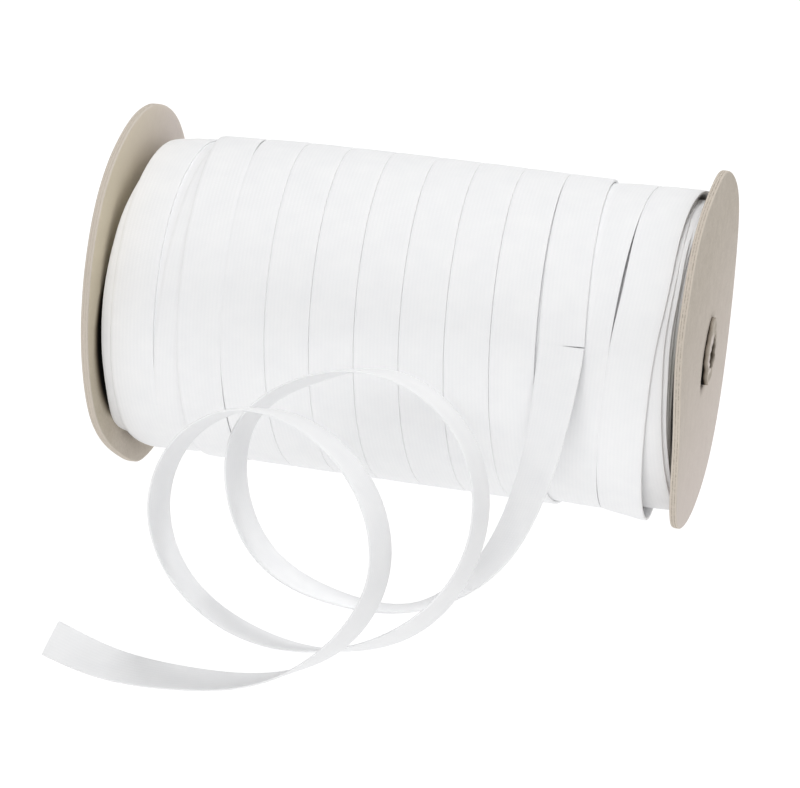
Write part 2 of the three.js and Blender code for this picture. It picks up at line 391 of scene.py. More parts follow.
def tape_section(tree, width, thickness, squareness):
    circle = tree.add("GeometryNodeCurvePrimitiveCircle", inputs={"Resolution": SECTION_POINTS})
    place = tree.add("GeometryNodeInputPosition")
    x = tree.add("ShaderNodeSeparateXYZ", inputs={0: place}, output=0)
    y = tree.add("ShaderNodeSeparateXYZ", inputs={0: place}, output=1)
    across = squared(x, width, squareness)
    height = squared(y, thickness, squareness)
    point = tree.add("ShaderNodeCombineXYZ", inputs={0: across, 1: height})
    section = tree.add("GeometryNodeSetPosition", inputs={"Geometry": circle, "Position": point})
    x = tree.add("ShaderNodeSeparateXYZ", inputs={0: tree.add("GeometryNodeInputPosition")}, output=0)
    return tree.add(
        "GeometryNodeStoreNamedAttribute",
        {"data_type": "FLOAT", "domain": "POINT"},
        {"Geometry": section, "Name": "across", "Value": x},
    )


def tape_tree():
    group = bpy.data.node_groups.new("tape_along_route", "GeometryNodeTree")
    group.interface.new_socket("Route", in_out="INPUT", socket_type="NodeSocketGeometry")
    group.interface.new_socket("Width", in_out="INPUT", socket_type="NodeSocketFloat")
    group.interface.new_socket("Thickness", in_out="INPUT", socket_type="NodeSocketFloat")
    group.interface.new_socket("Squareness", in_out="INPUT", socket_type="NodeSocketFloat")
    group.interface.new_socket("Finish", in_out="INPUT", socket_type="NodeSocketMaterial")
    group.interface.new_socket("Tape", in_out="OUTPUT", socket_type="NodeSocketGeometry")
    tree = Tree(group)
    entry = group.nodes.new("NodeGroupInput")
    given = {socket.name: Wire(tree, socket) for socket in entry.outputs if socket.name}
    curve = tree.add("GeometryNodeMeshToCurve", inputs={"Mesh": given["Route"]})
    way = tree.add(
        "GeometryNodeInputNamedAttribute", {"data_type": "FLOAT_VECTOR"}, {"Name": "width_way"}
    )
    curve = tree.add(
        "GeometryNodeSetCurveNormal", {"mode": "FREE"}, {"Curve": curve, "Normal": way}
    )
    length = tree.add("GeometryNodeSplineParameter", output="Length")
    curve = tree.add(
        "GeometryNodeStoreNamedAttribute",
        {"data_type": "FLOAT", "domain": "POINT"},
        {"Geometry": curve, "Name": "along", "Value": length},
    )
    section = tape_section(tree, given["Width"], given["Thickness"], given["Squareness"])
    tape = tree.add(
        "GeometryNodeCurveToMesh", inputs={"Curve": curve, "Profile Curve": section, "Fill Caps": True}
    )
    tape = tree.add("GeometryNodeRealizeInstances", inputs={"Geometry": tape})
    tape = tree.add(
        "GeometryNodeSetMaterial", inputs={"Geometry": tape, "Material": given["Finish"]}
    )
    tree.feed(group.nodes.new("NodeGroupOutput").inputs["Tape"], tape)
    return group


tape_nodes = tape_tree()
print("tape tree:", len(tape_nodes.nodes), "nodes")


# %% Lay a tape along a route
WIDTH_PLAY = 0.04 * MM
WOUND_SECTION = {"Thickness": TAPE_THICKNESS, "Squareness": 7}
FREE_SECTION = {"Thickness": 0.85 * TAPE_THICKNESS, "Squareness": 4}


def across_of(points, ways):
    """The width's way at each point, square to the route there."""
    along = np.gradient(points, axis=0)
    along /= np.linalg.norm(along, axis=1)[:, None]
    ways = ways - (ways * along).sum(axis=1)[:, None] * along
    return ways / np.linalg.norm(ways, axis=1)[:, None]


def lay_tape(name, points, ways, section):
    """The tape's mesh along a route of points, made by the tape tree."""
    chain = bpy.data.meshes.new(name)
    links = [(i, i + 1) for i in range(len(points) - 1)]
    chain.from_pydata(points.tolist(), links, [])
    layer = chain.attributes.new("width_way", "FLOAT_VECTOR", "POINT")
    layer.data.foreach_set("vector", across_of(points, ways).astype(np.float32).ravel())
    piece = bpy.data.objects.new(name, chain)
    bpy.context.scene.collection.objects.link(piece)
    modifier = piece.modifiers.new("tape", "NODES")
    modifier.node_group = tape_nodes
    given = {"Width": TAPE_WIDTH - WIDTH_PLAY, "Finish": elastic, **section}
    for socket in tape_nodes.interface.items_tree:
        if socket.name in given:
            modifier[socket.identifier] = given[socket.name]
    bpy.context.view_layer.update()
    graph = bpy.context.evaluated_depsgraph_get()
    mesh = bpy.data.meshes.new_from_object(piece.evaluated_get(graph))
    piece.modifiers.clear()
    piece.data = face_outwards(mesh)
    return piece


# %% [markdown]
# ## The wound tape
#
# A real winding machine lays the tape in a helix, turns round at a disc, and comes back on top. Each route
# below is a short table: an angle up from the front, counted down as the tape goes on, the place of the
# tape's middle along the axle, and how far the middle of its thickness is from the axle. A smooth curve
# joins the rows. The seams between turns then fall where the photograph has them.


# %% Routes of the winding
STEP_ANGLE = 4


def smooth_rows(keys, values, at):
    """A smooth curve through rows: a natural cubic spline, solved once for its slopes."""
    keys = np.asarray(keys, float)
    values = np.asarray(values, float)
    gaps = np.diff(keys)
    rises = np.diff(values, axis=0) / (gaps[:, None] if values.ndim > 1 else gaps)
    count = len(keys)
    matrix = np.zeros((count, count))
    right = np.zeros_like(values)
    matrix[0, 0] = matrix[-1, -1] = 1
    for i in range(1, count - 1):
        matrix[i, i - 1 : i + 2] = gaps[i - 1], 2 * (gaps[i - 1] + gaps[i]), gaps[i]
        right[i] = 6 * (rises[i] - rises[i - 1])
    bends = np.linalg.solve(matrix, right)
    spot = np.clip(np.searchsorted(keys, at) - 1, 0, count - 2)
    gap = gaps[spot]
    low = (keys[spot + 1] - at) / gap
    high = 1 - low
    if values.ndim > 1:
        gap, low, high = gap[:, None], low[:, None], high[:, None]
    curve = (low**3 - low) * bends[spot] + (high**3 - high) * bends[spot + 1]
    return low * values[spot] + high * values[spot + 1] + curve * gap**2 / 6


def wind(name, rows):
    """A stretch of wound tape whose rows are (angle, x, radius), in degrees and millimetres."""
    angles, places, radii = np.array(rows, float).T
    at = np.arange(angles[-1], angles[0] + STEP_ANGLE / 2, STEP_ANGLE)
    keys = angles[::-1]
    x = smooth_rows(keys, places[::-1], at)
    radius = np.interp(at, keys, radii[::-1])
    points = on_reel(x * MM, at, radius * MM)[::-1]
    return lay_tape(name, points, np.tile([1.0, 0.0, 0.0], (len(points), 1)), WOUND_SECTION)


HALF_TAPE = TAPE_THICKNESS / MM / 2
LOWER = LOWER_LAYER / MM - HALF_TAPE
UPPER = UPPER_LAYER / MM - HALF_TAPE
PITCH = TAPE_WIDTH / MM
LAST_STRIP = 47.1
PEEL_ANGLE = 24.3
PEEL_PLACE = 47.2
PEEL_LIFT = 0.3
UPPER_TURNS = 8
QUARTER_STEP = 0.22
FIRST_STRIP = LAST_STRIP - UPPER_TURNS * PITCH

upper_rows = [
    (900, -49.7, LOWER),
    (720, -55.7, LOWER),
    (630, -59.5, LOWER),
    (540, -64.5, LOWER),
    (450, -67.3, LOWER),
    (415, -67.9, LOWER),
    (375, -67.8, LOWER),
    (330, -67.2, LOWER),
    (317, -66.4, LOWER),
    (309, -65.1, LOWER),
    (301, -63.7, LOWER + 0.1),
    (285, -62.5, LOWER + 0.6),
    (270, -61.5, UPPER),
    (180, -58.5, UPPER),
    (90, FIRST_STRIP - QUARTER_STEP * PITCH, UPPER),
    (0, FIRST_STRIP, UPPER),
]
for turn in range(1, UPPER_TURNS):
    upper_rows.append((-360 * turn + 90, FIRST_STRIP + (turn - QUARTER_STEP) * PITCH, UPPER))
    upper_rows.append((-360 * turn, FIRST_STRIP + turn * PITCH, UPPER))
upper_rows.append((-360 * UPPER_TURNS + 100, LAST_STRIP - 2.9, UPPER))
upper_rows.append((-360 * UPPER_TURNS + 60, LAST_STRIP - 1.4, UPPER))
upper_rows.append((-360 * UPPER_TURNS + PEEL_ANGLE, PEEL_PLACE, UPPER + PEEL_LIFT))

lower_right_rows = [
    (530, 62.5, LOWER - 1),
    (470, 66.5, LOWER - 2.4),
    (450, 67.4, LOWER - 2.6),
    (430, 67.9, LOWER - 1.9),
    (405, 67.8, LOWER - 1),
    (390, 67.4, LOWER - 1),
    (376, 67.7, LOWER - 1),
    (360, 68.1, LOWER - 1),
    (338, 68.8, LOWER - 1),
    (325, 69.2, LOWER - 1),
    (270, 69.2, LOWER - 0.8),
    (170, 69.8, LOWER),
    (99, 67.6, LOWER),
    (69, 66.9, LOWER),
    (44, 66.6, LOWER),
    (30, 65.6, LOWER),
    (16, 64.8, LOWER),
    (0, 64.1, LOWER),
    (-28, 62.9, LOWER),
    (-59, 61.8, LOWER),
    (-90, 60.8, LOWER),
    (-190, 57.7, LOWER),
    (-261, 55.5, LOWER),
    (-327, 53.6, LOWER),
    (-360, 52.3, LOWER),
    (-399, 50.4, LOWER),
    (-450, 48.8, LOWER),
    (-550, 45.6, LOWER),
    (-720, 40.3, LOWER),
    (-860, 36, LOWER),
]

under_right_rows = [
    (180, 69.5, LOWER - 1.9),
    (130, 69.3, LOWER - 1.9),
    (110, 69.2, LOWER - 3.2),
    (80, 69.1, LOWER - 3.2),
    (65, 69.1, LOWER - 1.9),
    (46, 69.1, LOWER - 1.9),
    (31, 68.7, LOWER - 1.9),
    (16, 69.0, LOWER - 1.9),
    (0, 69.2, LOWER - 1.9),
    (-24, 69.9, LOWER - 1.9),
    (-60, 69.4, LOWER - 1.9),
    (-90, 69, LOWER - 1.9),
    (-190, 69.5, LOWER - 1.9),
]

deep_right_rows = [
    (180, 70.0, LOWER - 3.0),
    (90, 70.0, LOWER - 3.4),
    (50, 69.3, LOWER - 3.0),
    (20, 69.3, LOWER - 3.0),
    (0, 69.6, LOWER - 3.0),
    (-60, 69.6, LOWER - 3.0),
    (-190, 69.8, LOWER - 3.0),
]

deepest_right_rows = [
    (180, 70.0, LOWER - 4.0),
    (90, 70.9, LOWER - 4.3),
    (45, 70.0, LOWER - 4.0),
    (20, 70.0, LOWER - 4.0),
    (-60, 69.8, LOWER - 4.0),
    (-190, 70.0, LOWER - 4.0),
]

under_left_rows = [
    (180, -66.6, LOWER - 0.9),
    (101, -66.8, LOWER - 0.9),
    (86, -67.4, LOWER - 0.9),
    (70, -68.2, LOWER - 0.6),
    (56, -69.4, LOWER - 0.4),
    (44, -69.9, LOWER - 0.3),
    (29, -70.4, LOWER - 0.3),
    (3, -70.2, LOWER - 0.3),
    (-20, -69.9, LOWER - 0.4),
    (-33, -70.2, LOWER - 0.7),
    (-39, -70.0, LOWER - 1.0),
    (-46, -69.6, LOWER - 2.0),
    (-60, -69.0, LOWER - 2.3),
    (-90, -67.5, LOWER - 2.3),
    (-190, -66.6, LOWER - 0.9),
]

ribbons = {
    "upper": wind("upper", upper_rows),
    "lower_right": wind("lower_right", lower_right_rows),
    "under_right": wind("under_right", under_right_rows),
    "deep_right": wind("deep_right", deep_right_rows),
    "deepest_right": wind("deepest_right", deepest_right_rows),
    "under_left": wind("under_left", under_left_rows),
}
for name, ribbon in ribbons.items():
    print(name, len(ribbon.data.polygons), "faces")

# %% [markdown]
# ## The body of the winding
#
# Under the turns that show lie dozens of layers. They are one closed body, a little smaller than the lowest
# turns, so that no gap between turns opens on emptiness.

# %% Winding body
BODY_SIDES = 144
body_profile = [
    {"x": -74.6, "radius": BORE_RADIUS / MM},
    {"x": -74.6, "radius": LOWER_LAYER / MM - 2.6},
    {"x": -74.0, "radius": LOWER_LAYER / MM - 1.2},
    {"x": -60.0, "radius": LOWER_LAYER / MM - 0.5},
    {"x": -50.0, "radius": LOWER_LAYER / MM - 0.3},
    {"x": 38.0, "radius": LOWER_LAYER / MM - 0.3},
    {"x": 42.0, "radius": LOWER_LAYER / MM - 1.2},
    {"x": 60.0, "radius": LOWER_LAYER / MM - 2.6},
    {"x": 70.0, "radius": LOWER_LAYER / MM - 4.6},
    {"x": 74.8, "radius": LOWER_LAYER / MM - 5.6},
    {"x": 75.2, "radius": LOWER_LAYER / MM - 6.6},
    {"x": 75.2, "radius": BORE_RADIUS / MM},
]
angles = np.linspace(0, 360, BODY_SIDES, endpoint=False)
body_rings = np.array(
    [on_reel(row["x"] * MM, angles, row["radius"] * MM) for row in body_profile]
)
along = np.tile(np.radians(angles) * LOWER_LAYER, (len(body_profile), 1))
across = np.array([[row["x"] * MM] * BODY_SIDES for row in body_profile])
winding_body = ring_skin(
    "winding_body", body_rings, elastic, {"along": along, "across": across}
)

# %% [markdown]
# ## Slack
#
# The winding isn't a true cylinder. At the left its turns have slid down a little, and towards the right
# disc they hang slack at the bottom. The same small table as in the solids moves every point of the winding
# towards or away from the axle. The body and the deep turns are snug and sag less.

# %% Settle the winding
slack_rows = [
    {"x": -75.9, "dip": 2.1, "sag": 1.1},
    {"x": -69.7, "dip": 0.9, "sag": 1.06},
    {"x": -66.1, "dip": 0.5, "sag": 0.9},
    {"x": -56.0, "dip": -0.1, "sag": 0.7},
    {"x": -37.9, "dip": -0.6, "sag": 0.6},
    {"x": -9.9, "dip": -0.45, "sag": 1.3},
    {"x": 6.0, "dip": -0.2, "sag": 1.66},
    {"x": 17.8, "dip": 0.0, "sag": 1.85},
    {"x": 28.0, "dip": 0.25, "sag": 2.05},
    {"x": 45.2, "dip": 0.65, "sag": 2.5},
    {"x": 50.1, "dip": 0.7, "sag": 2.8},
    {"x": 55.3, "dip": 0.3, "sag": 3.0},
    {"x": 66.4, "dip": 0.1, "sag": 5.0},
    {"x": 70.8, "dip": 0.1, "sag": 5.0},
]
SAG_ANGLE = -72
SAG_SPREAD = 38
SNUG_SAG = 0.7
FIRM_RADIUS = 0.5 * LOWER_LAYER
FIRM_FADE = 0.4 * LOWER_LAYER


def settle(mesh, slackness):
    """Moves a winding's points: 0 is snug on the layers below, and 1 as slack as the rows say."""
    points = np.array([v.co for v in mesh.vertices])
    x = (points[:, 0] - MIDDLE_X) / MM
    out = AXLE_Y - points[:, 1]
    up = points[:, 2] - AXLE_Z
    radius = np.hypot(out, up)
    angle = np.degrees(np.arctan2(up, out))
    keys = [row["x"] for row in slack_rows]
    dip = np.interp(x, keys, [row["dip"] for row in slack_rows])
    sag = np.interp(x, keys, [row["sag"] for row in slack_rows])
    sag = slackness * sag + (1 - slackness) * np.minimum(sag, SNUG_SAG)
    away = (angle - SAG_ANGLE) / SAG_SPREAD
    moved = sag * np.exp(-(away**2)) - dip * np.maximum(0, np.sin(np.radians(angle)))
    loose = np.clip((radius - FIRM_RADIUS) / FIRM_FADE, 0, 1)
    points = on_reel(x * MM, angle, radius + moved * loose * MM)
    mesh.vertices.foreach_set("co", points.astype(np.float32).ravel())
    mesh.update()


def stored(mesh, name):
    values = np.zeros(len(mesh.vertices), dtype=np.float32)
    mesh.attributes[name].data.foreach_get("value", values)
    return values


for piece in (winding_body, ribbons["under_right"], ribbons["deep_right"], ribbons["deepest_right"]):
    settle(piece.data, 0.0)
for name in ("upper", "under_left"):
    settle(ribbons[name].data, 1.0)


def paint_shade_by_angle(mesh, most, full_at, none_at):
    """Stores the painted shade of a deep turn, which gets more light towards the top of the reel."""
    points = np.array([v.co for v in mesh.vertices])
    angle = np.degrees(np.arctan2(points[:, 2] - AXLE_Z, AXLE_Y - points[:, 1]))
    store(mesh, "painted_shade", most * np.clip((none_at - angle) / (none_at - full_at), 0, 1))


# Painted shade on the deep turns beside the right disc, lighter towards the top of the reel.
paint_shade_by_angle(ribbons["deep_right"].data, most=0.45, full_at=20, none_at=60)
paint_shade_by_angle(ribbons["deepest_right"].data, most=0.6, full_at=20, none_at=60)

# The turn beside the right disc starts snug and is slack from the bottom of the reel on.
SNUG_LENGTH = 150 * MM
SLACKENING = 40 * MM
laid = stored(ribbons["lower_right"].data, "along")
settle(ribbons["lower_right"].data, np.clip((laid - SNUG_LENGTH) / SLACKENING, 0, 1))


# %% Join the winding into one piece
def join(name, pieces):
    with bpy.context.temp_override(active_object=pieces[0], selected_editable_objects=pieces):
        bpy.ops.object.join()
    pieces[0].name = name
    return pieces[0]


winding = join("wound_turns", [*ribbons.values(), winding_body])
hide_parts("wound_tape")
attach(winding, "root")
print("winding:", len(winding.data.polygons), "faces")

# %% [markdown]
# ## The loose end
#
# The free stretch of tape carries on from the last turn. Its route is close to the one of the solids, with
# some places up to 1.3 mm away from theirs. A row is a place right of the reel's middle, in front of the axle
# and above the table, with the way that the width points, turned from straight out at the front towards the
# right and tipped up. A spline through the rows gives the steady curvature of a springy tape.

# %% Route of the loose end
loose_rows = [
    # right, front, up, turned, tipped
    (46.7, 44.9, 55.4, 76, 1),
    (45, 49.2, 42, 61, 2),
    (42, 54, 29, 51, 2),
    (37, 60.8, 17, 40, 4),
    (29, 66.9, 8, 27, 12),
    (18, 72.8, 3.2, 17, 22),
    (-2, 77, 5, 12, 15),
    (-20.5, 78, 15, 0, 8),
    (-29.5, 75, 32, -10, 11),
    (-27.5, 71, 51, -15, 19),
    (-12, 68.5, 63.5, -12, 30),
    (8, 68.5, 68, -6, 21),
    (26, 73, 60.5, -6, 20),
    (35.5, 80.5, 44.5, -9, 23),
    (33.5, 89.2, 26, -12, 28),
    (21, 96, 11, -15, 37),
    (1.5, 99.2, 3.8, -3, 31),
    (-20, 98.5, 5.2, 1, 17),
    (-38.3, 95, 16, -2, 14),
    (-45.9, 90, 34, -11, 15),
    (-40, 85.5, 52, -15, 21),
    (-23, 85, 62.5, -14, 26),
    (-4, 89.5, 60.5, -12, 21),
    (11, 97.5, 49, -14, 21),
    (15.5, 106, 31.5, -15, 26),
    (6.5, 114, 15, -15, 30),
    (-11, 116.8, 4.6, -5, 18),
    (-31.5, 116.2, 0.9, -2, 5),
    (-52, 114.7, 1.1, -14, -5),
    (-70.5, 107.1, 1.5, -20, -10),
]
PEEL_RADIUS = LOWER_LAYER + PEEL_LIFT * MM + TAPE_THICKNESS / 2
ABOVE_PEEL = 8
LOOSE_STEPS = 260
peel = on_reel(PEEL_PLACE * MM, PEEL_ANGLE, PEEL_RADIUS)
above_peel = on_reel(PEEL_PLACE * MM, PEEL_ANGLE + ABOVE_PEEL, PEEL_RADIUS)


def way_of_width(turned, tipped):
    turned, tipped = np.radians(turned), np.radians(tipped)
    level = np.cos(tipped)
    return np.stack([level * np.sin(turned), -level * np.cos(turned), np.sin(tipped)], axis=-1)


def loose_route():
    rows = np.array(loose_rows, float)
    places = np.stack(
        [MIDDLE_X + rows[:, 0] * MM, AXLE_Y - rows[:, 1] * MM, rows[:, 2] * MM], axis=-1
    )
    places = np.vstack([above_peel, peel, places])
    ways = np.vstack([[1, 0, 0], [1, 0, 0], way_of_width(rows[:, 3], rows[:, 4])])
    keys = np.concatenate([[0], np.cumsum(np.linalg.norm(np.diff(places, axis=0), axis=1))])
    at = np.linspace(keys[1], keys[-1], LOOSE_STEPS)
    return smooth_rows(keys, places, at), smooth_rows(keys, ways, at)


route, ways = loose_route()
loose_end = lay_tape("free_tape", route, ways, FREE_SECTION)

# %% [markdown]
# The tape was cut with scissors, not quite square. The points near the end are slid along the tape by how
# far across it they are. And nothing reaches below the table.

# %% Slanted cut
END_SLANT = 25
SLANT_REACH = 9 * MM


def slant_cut(mesh):
    tip = route[-1]
    back = route[-1] - route[-4]
    back /= np.linalg.norm(back)
    side = across_of(route[-4:], ways[-4:])[-1]
    points = np.array([v.co for v in mesh.vertices])
    from_tip = (tip - points) @ back
    off = (points - tip) @ side
    close = np.linalg.norm(points - tip, axis=1) < 2 * SLANT_REACH
    near = np.clip(1 - from_tip / SLANT_REACH, 0, 1) * close
    slide = -off * math.tan(math.radians(END_SLANT)) * near**2
    points += slide[:, None] * back
    points[:, 2] = np.maximum(points[:, 2], 0)
    mesh.vertices.foreach_set("co", points.astype(np.float32).ravel())
    mesh.update()


slant_cut(loose_end.data)
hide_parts("loose_end")
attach(loose_end, "root")

# %% [markdown]
# ## The discs
#
# Each disc is a ring of 2 mm board. Its rim isn't a clean edge: the board is pressed from plies that show as
# fine lines, its corners are rubbed round, and both discs have warped. The profile of the rim is a short
# table, and so are the bends of the rim all the way round. Where the board turns away behind the winding, a
# dark gap is painted into the finish as shade, and the faces carry painted light that changes with height.
# At the right the hole's edge is pressed in over the tube.

# %% Disc profile and warp
DISC_SIDES = 256
rim_profile = [
    {"in_from_rim": 0.45, "depth": 0.0, "edge": 0.0, "ply": 0.0},
    {"in_from_rim": 0.14, "depth": 0.07, "edge": 0.7, "ply": 0.0},
    {"in_from_rim": 0.02, "depth": 0.3, "edge": 1.0, "ply": 0.0},
    {"in_from_rim": 0.0, "depth": 0.58, "edge": 1.0, "ply": 0.0},
    {"in_from_rim": 0.12, "depth": 0.66, "edge": 1.0, "ply": 1.0},
    {"in_from_rim": 0.0, "depth": 0.74, "edge": 1.0, "ply": 0.2},
    {"in_from_rim": 0.0, "depth": 1.26, "edge": 1.0, "ply": 0.0},
    {"in_from_rim": 0.12, "depth": 1.34, "edge": 1.0, "ply": 1.0},
    {"in_from_rim": 0.0, "depth": 1.42, "edge": 1.0, "ply": 0.2},
    {"in_from_rim": 0.02, "depth": 1.7, "edge": 1.0, "ply": 0.0},
    {"in_from_rim": 0.14, "depth": 1.93, "edge": 0.7, "ply": 0.0},
    {"in_from_rim": 0.45, "depth": 2.0, "edge": 0.0, "ply": 0.0},
]
FACE_RADII = (13, 17, 21, 25, 28, 31, 34, 36, 38, 39.5, 40.5, 41.3, 42, 42.6, 43.2, 44, 45, 46, 46.9)
PRESS_POWER = 6
SCUFF_DEPTH = 0.05
SCUFF_WAVES = 9
# The painted shade of a gap fades in over these millimetres and reaches this far beside it.
GAP_FADE = 4.5
SHADE_REACH = 9
# The painted warm half-shade is strongest at this turn.
HALF_SHADE_TURN = 315


def disc_profile(rim, hole):
    """Rows of a disc's section, from its hole out over one face, round the rim and back."""
    face = [hole, *FACE_RADII]
    near = [(r, 0.0, 0.0, 0.0) for r in face]
    edge = [(rim - row["in_from_rim"], row["depth"], row["edge"], row["ply"]) for row in rim_profile]
    far = [(r, CARD_THICKNESS / MM, 0.0, 0.0) for r in reversed(face)]
    return np.array(near + edge + far)


def smooth_round(rows, turn):
    """A smooth curve through rows that go once round and meet again."""
    rows = np.array(sorted(rows), float)
    keys = np.concatenate([rows[:, 0] - 360, rows[:, 0], rows[:, 0] + 360])
    return smooth_rows(keys, np.tile(rows[:, 1:], (3, 1)), turn)


def card_disc(board):
    radius = board["radius"] / MM
    hole = board["hole"]
    radii, depths, edges, plies = disc_profile(radius, hole).T
    turn = np.linspace(0, 2 * math.pi, DISC_SIDES, endpoint=False)
    rng = np.random.default_rng(board["seed"])
    phases = rng.uniform(0, 2 * math.pi, 3)
    outwards = np.clip((radii - hole) / (radius - hole), 0, 1)
    scuff = sum(SCUFF_DEPTH / k * np.sin(SCUFF_WAVES * k * turn + phases[k - 1]) for k in (1, 2, 3))
    pressed = smooth_round(board["hole_pressed"], np.degrees(turn))[:, 0]
    reach = radii[:, None] + edges[:, None] * scuff - pressed * (1 - outwards[:, None]) ** PRESS_POWER
    bend = smooth_round(board["bends"], np.degrees(turn))[:, 0]
    x = depths[:, None] + outwards[:, None] ** 2 * bend
    y = reach * np.sin(turn)
    z = reach * np.cos(turn)
    rings = np.stack([x, y, z], axis=-1) * MM
    place = (
        Matrix.Translation((MIDDLE_X + board["face_at"] * MM, AXLE_Y, AXLE_Z + board["raised"] * MM))
        @ Matrix.Rotation(math.radians(board["lean"]), 4, "Y")
        @ Matrix.Rotation(math.radians(board["toe"]), 4, "Z")
    )
    turned = rings.reshape(-1, 3) @ np.array(place.to_3x3()).T + np.array(place.translation)
    turned[:, 2] = np.maximum(turned[:, 2], 0)
    inside = depths == board["inner_depth"]
    # Painted shade: the inner face darkens in the gap beside the winding, and a little beyond it.
    gap = np.interp(np.degrees(turn), *np.array(board["gap"], float).T, period=360)
    deep = np.clip((gap - radii[:, None]) / GAP_FADE, 0, 1)
    beside = np.clip((gap + SHADE_REACH - radii[:, None]) / SHADE_REACH, 0, 1)
    painted_shade = inside[:, None] * np.maximum(deep, board["shade"] * beside)
    # Painted light: a paler tone that follows the height on the disc, on top of the board's own paler grey.
    pale_and_painted_light = np.clip(board["pale_and_painted_light"] + board["painted_light_rise"] * z / radius, 0, 1)
    # Painted warm half-shade, strongest at one turn of the inner face.
    tan = board["tan"] * np.maximum(0, np.cos(turn - math.radians(HALF_SHADE_TURN)))
    per_point = {
        "edge": np.repeat(edges, DISC_SIDES),
        "ply": board["ply_share"] * np.repeat(plies, DISC_SIDES),
        "painted_shade": painted_shade,
        "pale_and_painted_light": pale_and_painted_light,
        "tan": inside[:, None] * tan,
    }
    return ring_skin(board["name"], turned.reshape(rings.shape), card, per_point)


# The rows start with a turn from the top towards the back, in degrees. The second number is in millimetres:
# how far the rim bends to the right, how far the hole's edge is pressed in, and out to which radius the gap
# beside the winding is darkened with painted shade.
boards = {
    "disc_left": {
        "name": "left_board",
        "radius": LEFT_DISC_RADIUS + 0.1 * MM,
        "hole": BORE_RADIUS / MM,
        "hole_pressed": [(0, 0), (180, 0)],
        "face_at": -78.82,
        "inner_depth": CARD_THICKNESS / MM,
        "raised": 1.15,
        "lean": -1.64,
        "toe": -0.41,
        "bends": [
            (20, 0.3),
            (42, -0.1),
            (52, -0.43),
            (60, -0.85),
            (100, 0),
            (150, 0.3),
            (189, 0.8),
            (196, 1.05),
            (221, 2.2),
            (228, 1.3),
            (237, 0.28),
            (244, -0.18),
            (250, -0.36),
            (256, -0.34),
            (274, -0.17),
            (300, 0.07),
            (333, 0.2),
            (356, 0.5),
        ],
        "gap": [
            (0, 20),
            (90, 20),
            (210, 25),
            (225, 37),
            (235, 42),
            (243, 45),
            (255, 46),
            (270, 46),
            (280, 45.2),
            (290, 42.5),
            (305, 36),
            (320, 28),
            (330, 20),
        ],
        # Painted shade beside the gap.
        "shade": 0.12,
        # Painted warm half-shade on the upper front of the inner face.
        "tan": 0.65,
        "ply_share": 0.2,
        # Paler grey of the board, and painted light that grows towards the top.
        "pale_and_painted_light": 0.3,
        "painted_light_rise": 0.9,
        "seed": 3,
    },
    "disc_right": {
        "name": "right_board",
        "radius": DISC_RADIUS - 0.1 * MM,
        "hole": 9.8,
        "hole_pressed": [
            (0, 4.6),
            (20, 4.6),
            (33, 4.0),
            (45, 2.0),
            (55, 0.6),
            (75, 0),
            (150, 0),
            (195, -0.5),
            (215, -0.6),
            (239.5, 2.7),
            (264, 4.6),
            (296, 5.6),
            (344, 5.6),
        ],
        "face_at": 76.6,
        "inner_depth": 0,
        "raised": 0.05,
        "lean": 1.5,
        "toe": 0.05,
        "bends": [
            (2, 0.1),
            (25, 0),
            (50, 0.5),
            (80, 0.05),
            (110, -0.2),
            (158, 0.2),
            (193, -0.25),
            (220, 0),
            (237, 0.7),
            (272, 1.4),
            (297, 0.05),
            (313, -0.25),
            (333, -0.5),
        ],
        "gap": [(0, 42), (180, 42)],
        "shade": 0,
        "tan": 0,
        "ply_share": 1,
        # Paler grey of the board, and painted light that grows towards the bottom.
        "pale_and_painted_light": 0.42,
        "painted_light_rise": -0.64,
        "seed": 5,
    },
}
discs = {node: card_disc(board) for node, board in boards.items()}
for node, disc in discs.items():
    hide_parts(node)
    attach(disc, "root")
    print(disc.name, len(disc.data.polygons), "faces")

# %% [markdown]
# ## The tube
#
# The discs are glued to a thin card tube. At the right its mouth has been crushed: the wall is pushed in at
# the front, torn along its edge, and stands a little out of the disc. Two short tables give the outlines of
# the mouth, one for the wall and one for the hollow that is left. Inside the tube and down into the mouth,
# shade is painted into the colour.

# %% Card tube
TUBE_SIDES = 120
MOUTH_START = 60
MOUTH_END = 79.8
MOUTH_PROUD = 0.1
CREASE_WAVES = 11
CREASE_HEIGHT = 0.05
CREASE_BELOW = 0.1
TORN_WAVES = 7
TORN_HEIGHT = 0.15
# Painted shade of the outer wall's last rings before the mouth, and of the hollow's first rings inside it.
WALL_SHADE = (1.0, 1.0, 0.25, 0.08)
HOLLOW_SHADE = (0.25, 0.55, 0.85)
torn_rows = [
    {"share": 0.2, "sunk": 0.05},
    {"share": 0.45, "sunk": 0.35},
    {"share": 0.75, "sunk": 0.3},
]
mouth_rows = [
    {"along": 0.0, "push": 0.0},
    {"along": 0.3, "push": 0.1},
    {"along": 0.55, "push": 0.4},
    {"along": 0.75, "push": 0.8},
    {"along": 0.9, "push": 0.97},
    {"along": 0.94, "push": 0.99},
    {"along": 0.97, "push": 1.0},
    {"along": 0.985, "push": 1.0},
    {"along": 1.0, "push": 1.0},
]
crushed_wall = [
    # turn from the top towards the back in degrees, then back and up from the axle in millimetres
    (0, 5.5, 6.9),
    (40, 8.2, 3.4),
    (80, 8.9, -0.5),
    (110, 8.4, -3.2),
    (140, 6.2, -6.4),
    (165, 2.6, -8.5),
    (185, -2.6, -8.8),
    (200, -4.0, -8.1),
    (225, -4.3, -4.7),
    (255, -4.8, -0.9),
    (285, -3.2, 2.2),
    (315, -0.2, 4.1),
    (340, 2.2, 6.0),
]
